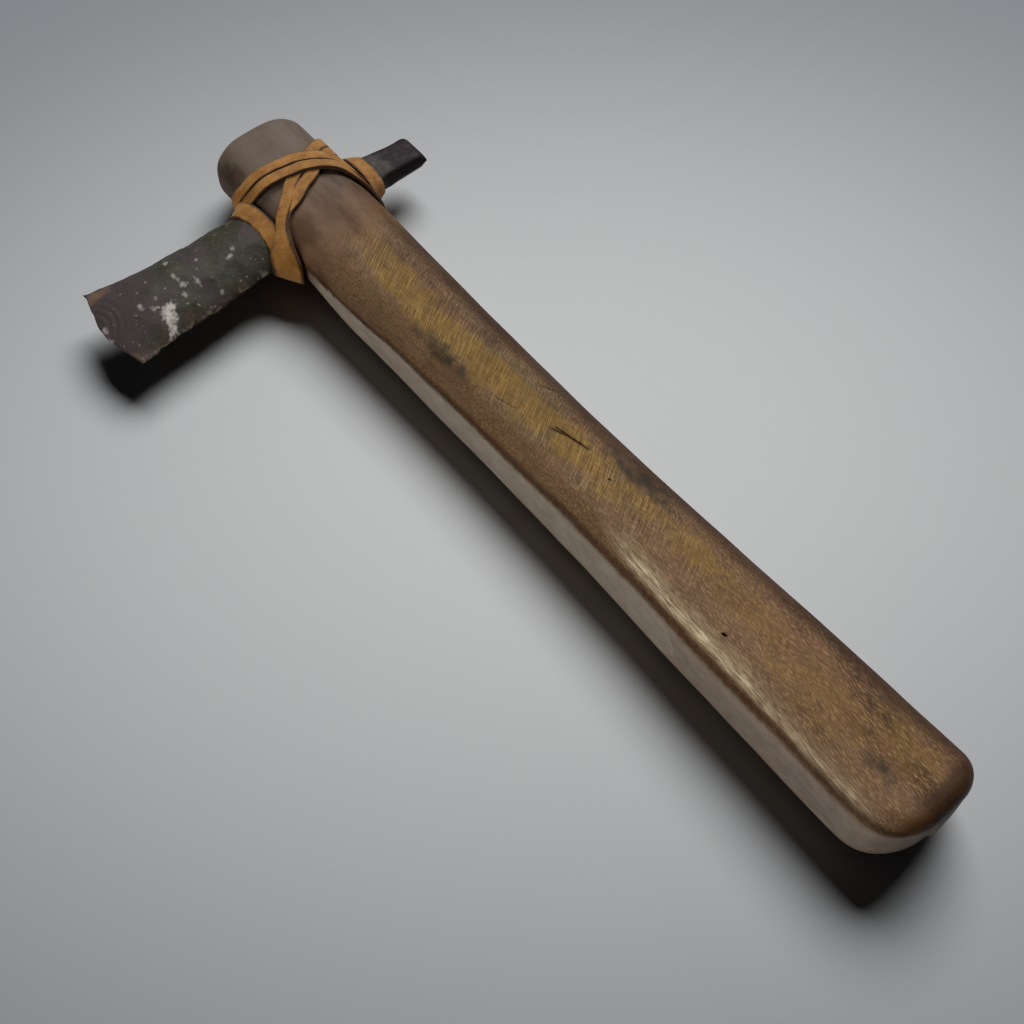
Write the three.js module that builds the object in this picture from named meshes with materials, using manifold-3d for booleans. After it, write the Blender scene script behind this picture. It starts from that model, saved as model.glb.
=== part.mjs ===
import * as THREE from 'three';
import { LoftGeometry } from 'three/addons/geometries/LoftGeometry.js';
import { mergeVertices } from 'three/addons/utils/BufferGeometryUtils.js';
import Module from 'manifold-3d';

const wasm = await Module();
wasm.setup();

// Millimetres. +X runs to the butt of the handle, the cutting edge points to -Y, +Z is up.

// Wooden handle, lying along X beside the origin because the stone reaches further to one side.
const handleLength = 342;
const handleAxisY = 20.85;
const handleWidth = [[-171, 38.4], [-105, 38.2], [-35, 36.6], [35, 36.8], [105, 40.6], [171, 43.2]];
const handleTop = [[-171, 27.2], [-105, 27.4], [-35, 26.6], [35, 27.0], [105, 29.2], [171, 30.4]];
const handleSquareness = [[-171, 2.5], [-105, 2.6], [0, 2.8], [171, 3.3]];
const underSquareness = [[-171, 2.6], [-105, 3.0], [-60, 4.2], [171, 4.2]];
const headLift = 3.7;          // underside of the head is pared away to clear the lashing
const headLiftStart = -83;
const headLiftEnd = -111;
const restCut = 0.8;           // the rest of the underside is dressed to one flat strip
const headRoundPlan = 15;
const headRoundSide = 9;
const buttRoundPlan = 14;
const buttRoundTop = 5;
const buttRoundBelow = 13;

// Stone blade, through the head at a right angle to the handle.
const stoneMidZ = 15;
const stoneButtY = 67.65;
const edgeBow = 3.5;           // how far the middle of the cutting edge stands past its corners
// distance from the butt end, head-side x, butt-side x, full thickness
const stoneStations = [
  [0, -134.4, -122.4, 6.0],
  [1.2, -135.3, -121.4, 7.6],
  [9, -135.4, -121.2, 8.8],
  [18.3, -136.8, -121.0, 10.2],
  [30, -139.4, -119.9, 11.4],
  [52, -143.2, -116.4, 12.2],
  [76, -144.2, -114.8, 12.2],
  [97, -144.5, -112.8, 11.8],
  [113, -145.2, -111.9, 10.6],
  [123, -146.8, -110.8, 7.4],
  [129, -148.3, -110.3, 3.6],
  [131.8, -149.2, -110.0, 0.9],
];

// Leather lacing: flat thong, wound twice round the head each way and once round each side of the stone.
const thongWidth = 5;
const thongThick = 1.6;
const fitGap = 0.3;
const turnPitch = 4.7;
// angle round the handle in degrees (0 is the +Y side, 90 the top) and place along it
const overTurn = [
  [0, -113], [15, -121], [35, -130], [60, -136], [90, -141.6], [120, -144.3], [150, -147.5], [180, -152],
  [225, -146], [270, -131], [315, -117], [345, -112.5],
];
const underTurn = [
  [0, -146.5], [30, -144], [60, -140.5], [90, -134], [110, -127.5], [145, -119], [165, -113.5], [180, -110],
  [225, -117], [270, -131], [315, -143], [345, -146.5],
];
const collarBlade = -2.5;      // centre of the turn round the stone on the blade side
const collarButt = 43.9;       // centre of the turn round the stone on the far side

function smooth(a, b, x) {
  return THREE.MathUtils.smoothstep(x, a, b);
}

// Smooth value through a list of [place, value] pairs.
function through(stations, place) {
  const last = stations.length - 1;
  if (place <= stations[0][0]) {
    return stations[0][1];
  }
  if (place >= stations[last][0]) {
    return stations[last][1];
  }
  let i = 0;
  while (stations[i + 1][0] < place) {
    i += 1;
  }
  const slope = (j) => {
    const a = stations[Math.max(0, j - 1)];
    const b = stations[Math.min(last, j + 1)];
    return (b[1] - a[1]) / (b[0] - a[0]);
  };
  const [x0, y0] = stations[i];
  const [x1, y1] = stations[i + 1];
  const h = x1 - x0;
  const t = (place - x0) / h;
  const t2 = t * t;
  const t3 = t2 * t;
  return (2 * t3 - 3 * t2 + 1) * y0 + (t3 - 2 * t2 + t) * h * slope(i)
    + (3 * t2 - 2 * t3) * y1 + (t3 - t2) * h * slope(i + 1);
}

// Inset of a rounded edge of the given radius, at a distance in from the end.
function rounding(radius, distance) {
  if (distance >= radius) {
    return 0;
  }
  const k = 1 - distance / radius;
  return radius * (1 - Math.sqrt(1 - k * k));
}

function handleBox(x) {
  const half = handleLength / 2;
  const lift = headLift * (1 - smooth(headLiftEnd, headLiftStart, x));
  const low = lift - restCut * smooth(headLiftEnd, headLiftStart, x);
  const high = through(handleTop, x);
  const fromHead = half + x;
  const fromButt = half - x;
  const plan = rounding(headRoundPlan, fromHead) + rounding(buttRoundPlan, fromButt);
  const above = rounding(headRoundSide, fromHead) + rounding(buttRoundTop, fromButt);
  const below = rounding(headRoundSide, fromHead) + rounding(buttRoundBelow, fromButt);
  return {
    halfWidth: through(handleWidth, x) / 2 - plan,
    halfAbove: (high - low) / 2 - above,
    halfBelow: (high - low) / 2 - below,
    midZ: (high + low) / 2,
    power: through(handleSquareness, x),
    powerBelow: through(underSquareness, x),
  };
}

// A point of the handle's surface, moved out by a gap; angle 0 is the +Y side, 90 degrees the top.
function handlePoint(x, angle, gap) {
  const box = handleBox(x);
  const c = Math.cos(angle);
  const s = Math.sin(angle);
  const bend = 2 / (s < 0 ? box.powerBelow : box.power);
  const tall = s < 0 ? box.halfBelow : box.halfAbove;
  const y = (box.halfWidth + gap) * Math.sign(c) * Math.pow(Math.abs(c), bend);
  const z = (tall + gap) * Math.sign(s) * Math.pow(Math.abs(s), bend);
  return new THREE.Vector3(x, handleAxisY + y, box.midZ + z);
}

// A closed solid from a lofted skin; the triangles that shrink to nothing at a pole are left out.
function solidOf(geometry) {
  const plain = new THREE.BufferGeometry();
  plain.setAttribute('position', geometry.attributes.position);
  plain.setIndex(geometry.index);
  const merged = mergeVertices(plain, 1e-4);
  const corners = merged.index.array;
  const kept = [];
  for (let i = 0; i < corners.length; i += 3) {
    const [a, b, c] = [corners[i], corners[i + 1], corners[i + 2]];
    if (a !== b && b !== c && c !== a) {
      kept.push(a, b, c);
    }
  }
  const mesh = new wasm.Mesh({
    numProp: 3,
    vertProperties: new Float32Array(merged.attributes.position.array),
    triVerts: new Uint32Array(kept),
  });
  return new wasm.Manifold(mesh);
}

// Closes both ends of a row of sections with a pole in the middle of each end face.
function closedLoft(sections) {
  const pole = (ring) => {
    const middle = ring.reduce((sum, p) => sum.add(p), new THREE.Vector3()).divideScalar(ring.length);
    return ring.map(() => middle.clone());
  };
  const last = sections[sections.length - 1];
  return solidOf(new LoftGeometry([pole(sections[0]), ...sections, pole(last)], {}));
}

function geometryOf(solid) {
  const mesh = solid.getMesh();
  const geometry = new THREE.BufferGeometry();
  geometry.setAttribute('position', new THREE.BufferAttribute(new Float32Array(mesh.vertProperties), 3));
  geometry.setIndex(new THREE.BufferAttribute(new Uint32Array(mesh.triVerts), 1));
  geometry.computeVertexNormals();
  return geometry;
}

function handleSolid() {
  const half = handleLength / 2;
  const around = 36;
  const stops = [];
  const ends = [0, 0.35, 1.3, 2.9, 5, 7.6, 10.6, 14.5];
  ends.forEach((d) => stops.push(-half + d));
  for (let x = -150; x <= 152; x += 13.7) {
    stops.push(x);
  }
  ends.slice().reverse().forEach((d) => stops.push(half - d));
  const sections = stops.map((x) => {
    const ring = [];
    for (let i = 0; i < around; i += 1) {
      const p = handlePoint(x, (i / around) * Math.PI * 2, 0);
      p.z = Math.max(0, p.z);
      ring.push(p);
    }
    return ring;
  });
  return closedLoft(sections);
}

// The stone's section: two flaked faces meeting in thin edges; clearance swells it for the mortise.
function stoneSolid(clearance, capReach) {
  const around = 20;
  const rows = 26;
  const total = stoneStations[stoneStations.length - 1][0];
  const headSide = stoneStations.map((s) => [s[0], s[1]]);
  const buttSide = stoneStations.map((s) => [s[0], s[2]]);
  const depth = stoneStations.map((s) => [s[0], s[3]]);
  const marks = stoneStations.map((s) => s[0]);
  for (let i = 1; i < rows - marks.length; i += 1) {
    marks.push((total * i) / (rows - stoneStations.length + 0.37));
  }
  marks.sort((a, b) => a - b);
  const kept = marks.filter((m, i) => i === 0 || m - marks[i - 1] > 0.6);
  const sections = kept.map((d, row) => {
    const left = through(headSide, d) - clearance;
    const right = through(buttSide, d) + clearance;
    const thick = through(depth, d) / 2 + clearance;
    const middle = (left + right) / 2;
    const halfWidth = (right - left) / 2;
    const bow = edgeBow * smooth(total - 30, total, d);
    const ring = [];
    for (let i = 0; i < around; i += 1) {
      const angle = (i / around) * Math.PI * 2;
      const u = Math.cos(angle);
      const flake = 1 + 0.05 * Math.sin(row * 2.3 + i * 1.9) * smooth(0, 20, d);
      const rise = Math.sign(Math.sin(angle)) * Math.pow(Math.abs(Math.sin(angle)), 0.8);
      const reach = d === 0 ? -capReach : d;
      const y = stoneButtY - reach - bow * (1 - u * u);
      const z = stoneMidZ + thick * rise * flake;
      ring.push(new THREE.Vector3(middle + halfWidth * u, y, z));
    }
    return ring;
  });
  return closedLoft(sections);
}

// A flat strip swept once round a closed path; outward gives the side that faces away from the work.
function closedStrip(points, outward, width, thick) {
  const count = points.length;
  const sections = [];
  for (let i = 0; i <= count; i += 1) {
    const k = i % count;
    const here = points[k];
    const along = points[(k + 1) % count].clone().sub(points[(k + count - 1) % count]).normalize();
    const out = outward[k].clone().addScaledVector(along, -outward[k].dot(along)).normalize();
    const across = new THREE.Vector3().crossVectors(along, out);
    const corner = (w, t) => here.clone()
      .addScaledVector(across, (w * width) / 2)
      .addScaledVector(out, (t * thick) / 2);
    sections.push([corner(-1, 1), corner(1, 1), corner(1, -1), corner(-1, -1)]);
  }
  return solidOf(new LoftGeometry(sections, {}));
}

// One turn round the handle, at an offset along it and a height above the wood.
function handleTurn(route, shift, height) {
  const count = 48;
  const keyed = [...route.map(([a, x]) => [a - 360, x]), ...route, ...route.map(([a, x]) => [a + 360, x])];
  const points = [];
  const outward = [];
  for (let i = 0; i < count; i += 1) {
    const degrees = (i / count) * 360;
    const angle = THREE.MathUtils.degToRad(degrees);
    const x = through(keyed, degrees) + shift(degrees);
    const base = handlePoint(x, angle, 0);
    const before = handlePoint(x, angle - 0.03, 0);
    const after = handlePoint(x, angle + 0.03, 0);
    const normal = new THREE.Vector3(0, after.z - before.z, before.y - after.y).normalize();
    points.push(base.addScaledVector(normal, height(degrees) + thongThick / 2));
    outward.push(normal);
  }
  return closedStrip(points, outward, thongWidth, thongThick);
}

// One turn round the stone, close against the handle's side.
function stoneTurn(y, lean) {
  const count = 30;
  const d = stoneButtY - y;
  const left = through(stoneStations.map((s) => [s[0], s[1]]), d);
  const right = through(stoneStations.map((s) => [s[0], s[2]]), d);
  const thick = through(stoneStations.map((s) => [s[0], s[3]]), d) / 2;
  const off = fitGap + thongThick / 2 + 0.2;
  const points = [];
  const outward = [];
  for (let i = 0; i < count; i += 1) {
    const angle = (i / count) * Math.PI * 2;
    const c = Math.cos(angle);
    const s = Math.sin(angle);
    const rise = Math.sign(s) * Math.pow(Math.abs(s), 0.8);
    const x = (left + right) / 2 - ((right - left) / 2 + off) * c;
    const z = stoneMidZ + (thick + off) * rise;
    points.push(new THREE.Vector3(x, y + lean * s, z));
    outward.push(new THREE.Vector3(-c / (right - left), 0, s / (2 * thick)).normalize());
  }
  return closedStrip(points, outward, thongWidth, thongThick);
}

// The over turns climb where they cross the under turns, on top and underneath.
function climb(degrees) {
  const top = smooth(30, 62, degrees) * (1 - smooth(112, 146, degrees));
  const under = smooth(228, 256, degrees) * (1 - smooth(284, 312, degrees));
  return fitGap + (thongThick - 0.12) * Math.max(top, under);
}

function finishMesh(name, solid, colour, roughness) {
  const material = new THREE.MeshStandardMaterial({ color: colour, roughness, metalness: 0 });
  const mesh = new THREE.Mesh(geometryOf(solid), material);
  mesh.name = name;
  return mesh;
}

const stone = stoneSolid(0, 0);
const mortise = stoneSolid(fitGap, 0);
const handle = handleSolid().subtract(mortise);

const flat = () => fitGap;
const parts = [
  handleTurn(overTurn, () => -turnPitch / 2, climb),
  handleTurn(overTurn, () => turnPitch / 2, climb),
  handleTurn(underTurn, () => -turnPitch / 2, flat),
  handleTurn(underTurn, (a) => turnPitch / 2 - 2.4 * smooth(100, 150, a) * (1 - smooth(190, 240, a)), flat),
  stoneTurn(collarBlade, 0.6),
  stoneTurn(collarButt, -0.6),
];
const wound = parts.reduce((sum, part) => sum.add(part));
const lacing = wound.subtract(mortise);

const group = new THREE.Group();
group.add(finishMesh('wooden_handle', handle, 0x6b4a2c, 0.55));
group.add(finishMesh('stone_blade', stone, 0x3b3b33, 0.6));
group.add(finishMesh('leather_lacing', lacing, 0x8a5a26, 0.85));

export default group;
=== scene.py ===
import math
import random

import bmesh
import bpy
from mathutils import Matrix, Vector, noise


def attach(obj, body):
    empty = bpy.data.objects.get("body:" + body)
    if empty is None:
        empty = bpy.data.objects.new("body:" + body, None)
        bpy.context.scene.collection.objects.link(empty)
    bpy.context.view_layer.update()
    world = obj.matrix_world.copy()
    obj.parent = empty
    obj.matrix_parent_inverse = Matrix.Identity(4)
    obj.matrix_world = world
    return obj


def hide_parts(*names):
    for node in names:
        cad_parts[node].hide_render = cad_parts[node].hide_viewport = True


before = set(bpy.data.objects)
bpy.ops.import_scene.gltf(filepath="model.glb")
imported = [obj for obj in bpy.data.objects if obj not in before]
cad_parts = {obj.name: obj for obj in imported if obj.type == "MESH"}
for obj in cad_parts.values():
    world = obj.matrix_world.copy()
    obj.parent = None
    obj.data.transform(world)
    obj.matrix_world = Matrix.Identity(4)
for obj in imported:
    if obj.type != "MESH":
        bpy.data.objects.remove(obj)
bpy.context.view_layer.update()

mm = 0.001  # shapes are worked out in millimetres and scaled once at the end
print("frame loaded")


# small tools

def smooth(start, end, value):
    t = min(1.0, max(0.0, (value - start) / (end - start)))
    return t * t * (3 - 2 * t)


def through(stations, place):
    # smooth value through (place, value) pairs
    last = len(stations) - 1
    if place <= stations[0][0]:
        return stations[0][1]
    if place >= stations[last][0]:
        return stations[last][1]
    i = 0
    while stations[i + 1][0] < place:
        i += 1

    def slope(j):
        a, b = stations[max(0, j - 1)], stations[min(last, j + 1)]
        return (b[1] - a[1]) / (b[0] - a[0])

    (x0, y0), (x1, y1) = stations[i], stations[i + 1]
    h = x1 - x0
    t = (place - x0) / h
    t2, t3 = t * t, t * t * t
    return ((2 * t3 - 3 * t2 + 1) * y0 + (t3 - 2 * t2 + t) * h * slope(i)
            + (3 * t2 - 2 * t3) * y1 + (t3 - t2) * h * slope(i + 1))


def rounding(radius, distance):
    # inset of a rounded edge at a distance in from the end
    if distance >= radius:
        return 0.0
    k = 1 - distance / radius
    return radius * (1 - math.sqrt(1 - k * k))


def power(value, exponent):
    return math.copysign(abs(value) ** exponent, value)


def bar(cutsX, cutsY, cutsZ):
    # a closed block from -1 to 1, divided evenly along each axis
    bm = bmesh.new()
    bmesh.ops.create_cube(bm, size=2)
    for axis, cuts in enumerate((cutsX, cutsY, cutsZ)):
        along = [e for e in bm.edges if abs((e.verts[0].co - e.verts[1].co)[axis]) > 1e-6]
        bmesh.ops.subdivide_edges(bm, edges=along, cuts=cuts, use_grid_fill=True)
    return bm


def meshObject(name, bm):
    # a shape in millimetres becomes an object in metres, with its faces turned outward
    bmesh.ops.scale(bm, vec=(mm, mm, mm), verts=bm.verts)
    bmesh.ops.recalc_face_normals(bm, faces=bm.faces)
    mesh = bpy.data.meshes.new(name)
    bm.to_mesh(mesh)
    bm.free()
    thing = bpy.data.objects.new(name, mesh)
    bpy.context.scene.collection.objects.link(thing)
    return thing


def finishPiece(name, bm, material, node):
    piece = meshObject(name, bm)
    piece.data.polygons.foreach_set("use_smooth", [True] * len(piece.data.polygons))
    piece.data.materials.append(material)
    pieceSet.objects.link(piece)
    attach(piece, "root")
    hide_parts(node)
    return piece


# shader helpers

def setInputs(tree, node, inputs):
    for key, value in inputs.items():
        if isinstance(value, bpy.types.NodeSocket):
            tree.links.new(value, node.inputs[key])
        else:
            node.inputs[key].default_value = value


def addNode(tree, kind, inputs=None, **settings):
    node = tree.nodes.new("ShaderNode" + kind)
    for key, value in settings.items():
        setattr(node, key, value)
    setInputs(tree, node, inputs or {})
    return node


def mathNode(tree, operation, a, b=0.0, clamp=False):
    return addNode(tree, "Math", {0: a, 1: b}, operation=operation, use_clamp=clamp).outputs[0]


def times(tree, a, b):
    return mathNode(tree, "MULTIPLY", a, b)


def vectorNode(tree, operation, a, b):
    second = "Scale" if operation == "SCALE" else 1
    return addNode(tree, "VectorMath", {0: a, second: b}, operation=operation).outputs[0]


def mapRange(tree, value, low, high, toLow=0.0, toHigh=1.0):
    return addNode(tree, "MapRange", {"Value": value, "From Min": low, "From Max": high,
                                      "To Min": toLow, "To Max": toHigh}).outputs["Result"]


def mixColour(tree, factor, first, second):
    # each of the two is a colour or a socket that gives one
    pair = [c if isinstance(c, bpy.types.NodeSocket) else (*c, 1.0) for c in (first, second)]
    return addNode(tree, "Mix", {0: factor, 6: pair[0], 7: pair[1]}, data_type="RGBA").outputs[2]


def newGroup(name, inputs, outputs):
    group = bpy.data.node_groups.new(name, "ShaderNodeTree")
    for label, kind, value in inputs:
        socket = group.interface.new_socket(name=label, in_out="INPUT", socket_type="NodeSocket" + kind)
        if value is not None:
            socket.default_value = value
    for label, kind in outputs:
        group.interface.new_socket(name=label, in_out="OUTPUT", socket_type="NodeSocket" + kind)
    given, result = group.nodes.new("NodeGroupInput"), group.nodes.new("NodeGroupOutput")
    return group, given.outputs, result.inputs


def useGroup(tree, group, inputs):
    node = tree.nodes.new("ShaderNodeGroup")
    node.node_tree = group
    setInputs(tree, node, inputs)
    return node.outputs[0]


def makeMottle():
    # soft uneven patches: size in mm, stretch along X
    group, given, result = newGroup(
        "mottle", [("Vector", "Vector", None), ("Size", "Float", 10.0), ("Stretch", "Float", 1.0),
                   ("Low", "Float", 0.4), ("High", "Float", 0.6), ("Shift", "Float", 0.0)],
        [("Value", "Float")])
    inverse = mathNode(group, "DIVIDE", 1.0, given["Size"])
    lengthwise = mathNode(group, "DIVIDE", inverse, given["Stretch"])
    scale = addNode(group, "CombineXYZ", {"X": lengthwise, "Y": inverse, "Z": inverse}).outputs[0]
    scaled = vectorNode(group, "MULTIPLY", given["Vector"], scale)
    moved = vectorNode(group, "ADD", scaled, given["Shift"])
    cloud = addNode(group, "TexNoise", {"Vector": moved, "Scale": 1.0, "Detail": 4.0, "Roughness": 0.6})
    ranged = mapRange(group, cloud.outputs["Fac"], given["Low"], given["High"])
    group.links.new(ranged, result["Value"])
    return group


def makeStrokes():
    # fine parallel marks turned by an angle about Z: spacing and length in mm
    group, given, result = newGroup(
        "strokes", [("Vector", "Vector", None), ("Angle", "Float", 0.0), ("Spacing", "Float", 1.0),
                    ("Length", "Float", 10.0), ("Low", "Float", 0.55), ("High", "Float", 0.65),
                    ("Shift", "Float", 0.0)],
        [("Value", "Float")])
    turned = addNode(group, "VectorRotate", {"Vector": given["Vector"], "Angle": given["Angle"]},
                     rotation_type="Z_AXIS").outputs[0]
    fine = mathNode(group, "DIVIDE", 1.0, given["Spacing"])
    long = mathNode(group, "DIVIDE", 1.0, given["Length"])
    scale = addNode(group, "CombineXYZ", {"X": long, "Y": fine, "Z": fine}).outputs[0]
    scaled = vectorNode(group, "MULTIPLY", turned, scale)
    moved = vectorNode(group, "ADD", scaled, given["Shift"])
    lines = addNode(group, "TexNoise", {"Vector": moved, "Scale": 1.0, "Detail": 2.0, "Roughness": 0.55})
    ranged = mapRange(group, lines.outputs["Fac"], given["Low"], given["High"])
    group.links.new(ranged, result["Value"])
    return group


def makeFlecks():
    # scattered small uneven spots: size in mm, share is how many of the cells hold one
    group, given, result = newGroup(
        "flecks", [("Vector", "Vector", None), ("Size", "Float", 3.0), ("Share", "Float", 0.4),
                   ("Radius", "Float", 0.3), ("Ragged", "Float", 0.5)],
        [("Mask", "Float")])
    scaled = vectorNode(group, "SCALE", given["Vector"], mathNode(group, "DIVIDE", 1.0, given["Size"]))
    wobble = addNode(group, "TexNoise", {"Vector": scaled, "Scale": 3.0, "Detail": 2.0}).outputs["Color"]
    centred = vectorNode(group, "SUBTRACT", wobble, (0.5, 0.5, 0.5))
    pushed = vectorNode(group, "SCALE", centred, given["Ragged"])
    place = vectorNode(group, "ADD", scaled, pushed)
    cells = addNode(group, "TexVoronoi", {"Vector": place, "Scale": 1.0}, feature="F1")
    pick = addNode(group, "SeparateColor", {0: cells.outputs["Color"]}).outputs[0]
    chosen = mathNode(group, "LESS_THAN", pick, given["Share"])
    size = times(group, given["Radius"], mathNode(group, "ADD", 0.4, pick))
    outward = mathNode(group, "DIVIDE", cells.outputs["Distance"], size)
    inside = mathNode(group, "SUBTRACT", 1.0, outward, clamp=True)
    group.links.new(times(group, mapRange(group, inside, 0.0, 0.35), chosen), result["Mask"])
    return group


mottle, strokes, flecks = makeMottle(), makeStrokes(), makeFlecks()


def newMaterial(name):
    material = bpy.data.materials.new(name)
    material.use_nodes = True
    tree = material.node_tree
    surface = tree.nodes["Principled BSDF"]
    coords = tree.nodes.new("ShaderNodeTexCoord").outputs["Object"]
    return material, tree, surface, coords


def attribute(tree, name):
    return addNode(tree, "Attribute", attribute_name=name, attribute_type="GEOMETRY").outputs["Fac"]


def joinSurface(tree, surface, colour, rough, height, strength, depth, shine):
    # depth is how far the relief rises, in metres
    bump = addNode(tree, "Bump", {"Height": height, "Strength": strength, "Distance": depth})
    tree.links.new(colour, surface.inputs["Base Color"])
    tree.links.new(rough, surface.inputs["Roughness"])
    tree.links.new(bump.outputs[0], surface.inputs["Normal"])
    surface.inputs["Specular IOR Level"].default_value = shine


# camera and light come first, then the pieces

viewForm = {
    "lens": 49.22,
    "azimuth": 50.07,
    "elevation": 60.71,
    "distance": 465.5,
    "target": (7.43, 0.75, 0.0),
    "floorHalf": 2.5,
    # the floor's colour holds a painted pool of light, pale in the middle and painted darker towards the
    # edges
    "floorColour": (0.62, 0.63, 0.63),
    "floorPaintedFalloffColour": (0.26, 0.27, 0.29),
    "paintedPoolReach": (0.03, 0.35),
    "floorMiddle": (0.0, 0.024, 0.0),
    "floorStretch": (1.12, 0.84, 1.0),
    "keyPlace": (-1.56, 2.38, 3.0),
    "keyAim": (0.02, 0.0, 0.0),
    "keySize": (3.4, 2.3),
    "keyPower": 208.0,
    "fillPlace": (-0.02, -0.80, 0.44),
    "fillSize": (0.8, 0.8),
    "fillPower": 5.0,
    "fillAim": (0.0, 0.0, 0.01),
    "skyColour": (0.80, 0.84, 0.95),
    "skyStrength": 0.007,
}


def makeCamera(form):
    azimuth, elevation = math.radians(form["azimuth"]), math.radians(form["elevation"])
    back = Vector((math.sin(azimuth) * math.cos(elevation), -math.cos(azimuth) * math.cos(elevation),
                   math.sin(elevation)))
    camera = bpy.data.objects.new("camera", bpy.data.cameras.new("camera"))
    camera.data.lens = form["lens"]
    camera.data.sensor_width = 36
    camera.data.clip_start = 0.01
    camera.location = (Vector(form["target"]) + back * form["distance"]) * mm
    camera.rotation_mode = "QUATERNION"
    camera.rotation_quaternion = (-back).to_track_quat("-Z", "Y")
    bpy.context.scene.collection.objects.link(camera)
    bpy.context.scene.camera = camera


def makeFloor(form):
    bm = bmesh.new()
    bmesh.ops.create_grid(bm, x_segments=1, y_segments=1, size=form["floorHalf"])
    mesh = bpy.data.meshes.new("floor")
    bm.to_mesh(mesh)
    bm.free()
    floor = bpy.data.objects.new("floor", mesh)
    bpy.context.scene.collection.objects.link(floor)
    material, tree, surface, coords = newMaterial("floorPaper")
    surface.inputs["Roughness"].default_value = 0.9
    surface.inputs["Specular IOR Level"].default_value = 0.15
    # painted pool of light: the paper is palest round the middle and painted darker towards the edges
    turn = (0, 0, math.radians(form["azimuth"]))
    middle = addNode(tree, "Mapping", {"Vector": coords, "Location": form["floorMiddle"], "Rotation": turn,
                                       "Scale": form["floorStretch"]}, vector_type="TEXTURE").outputs[0]
    reach = addNode(tree, "VectorMath", {0: middle}, operation="LENGTH").outputs["Value"]
    near, far = form["paintedPoolReach"]
    away = addNode(tree, "MapRange", {"Value": reach, "From Min": near, "From Max": far},
                   interpolation_type="SMOOTHSTEP").outputs["Result"]
    paperAndPaintedPool = mixColour(tree, away, form["floorColour"], form["floorPaintedFalloffColour"])
    tree.links.new(paperAndPaintedPool, surface.inputs["Base Color"])
    mesh.materials.append(material)


def makeLamp(name, form):
    light = bpy.data.lights.new(name, "AREA")
    light.shape = "ELLIPSE"
    light.size, light.size_y = form[name + "Size"]
    light.energy = form[name + "Power"]
    lamp = bpy.data.objects.new(name, light)
    lamp.location = Vector(form[name + "Place"])
    lamp.rotation_mode = "QUATERNION"
    lamp.rotation_quaternion = (Vector(form[name + "Aim"]) - lamp.location).to_track_quat("-Z", "Y")
    bpy.context.scene.collection.objects.link(lamp)
    return lamp


def makeSky(form):
    world = bpy.data.worlds.new("world")
    world.use_nodes = True
    sky = world.node_tree.nodes["Background"]
    sky.inputs["Color"].default_value = (*form["skyColour"], 1)
    sky.inputs["Strength"].default_value = form["skyStrength"]
    bpy.context.scene.world = world
    bpy.context.scene.view_settings.view_transform = "Standard"


pieceSet = bpy.data.collections.new("pieces")
makeCamera(viewForm)
makeFloor(viewForm)
makeLamp("key", viewForm)
fill = makeLamp("fill", viewForm)  # opens up the object's near side only
fill.visible_glossy = False
fill.light_linking.receiver_collection = pieceSet
makeSky(viewForm)
print("stage set")


# stone blade

stoneForm = {
    "midZ": 15.0,
    "buttY": 67.65,
    "edgeBow": 3.5,
    # distance from the butt end, head-side x, butt-side x, full thickness
    "stations": [
        (0, -134.3, -121.9, 6.4), (1.2, -134.8, -121.5, 7.2), (9, -134.7, -121.5, 8.2),
        (18.3, -136.0, -121.4, 9.6), (30, -138.8, -120.2, 11.2), (52, -143.2, -116.6, 12.2),
        (76, -144.2, -115.5, 12.2), (97, -144.6, -113.7, 11.8), (113, -145.6, -112.9, 10.6),
        (123, -147.4, -111.8, 7.4), (129, -148.7, -111.3, 3.6), (131.8, -149.4, -111.1, 0.9)],
    "edgeThickness": 0.9,
    "scarSeed": 11,
    "scarDepth": 0.75,
    "faceScars": 9,
    "blow": (-134.0, -69.0),
    "rippleHeight": 0.2,
    "rippleSpacing": 2.9,
    "roughness": (0.07, 0.025),
    "cuts": (70, 236, 4),
}
stoneLength = stoneForm["stations"][-1][0]
stoneHead = [(s[0], s[1]) for s in stoneForm["stations"]]
stoneButt = [(s[0], s[2]) for s in stoneForm["stations"]]
stoneThick = [(s[0], s[3]) for s in stoneForm["stations"]]


def stonePoint(u, v, w, form, swell=0.0):
    # u runs across the blade, v from the butt end to the cutting edge, w through the thickness
    d = (v + 1) / 2 * stoneLength
    left = through(stoneHead, d) - swell
    right = through(stoneButt, d) + swell
    square = 1 - smooth(12, 45, d)  # the butt end is a squared bar, the blade a thin lens
    fullness = square if w > 0 else 0.2 * square
    lens = (1 - abs(u) ** (2.1 + 5 * fullness)) ** (0.62 - 0.2 * fullness)
    thin = form["edgeThickness"] * (1 - smooth(120, 131, d)) + 0.35
    full = through(stoneThick, d)
    height = min(full, thin) / 2 + max(0.0, full - thin) / 2 * lens + swell
    bow = form["edgeBow"] * smooth(stoneLength - 30, stoneLength, d)
    x = (left + right) / 2 + (right - left) / 2 * u
    y = form["buttY"] - d - bow * (1 - u * u) ** 2 - 1.5 * (1 - smooth(0, 6, d)) * w * w
    return Vector((x, y, form["midZ"] + height * w))


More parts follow.
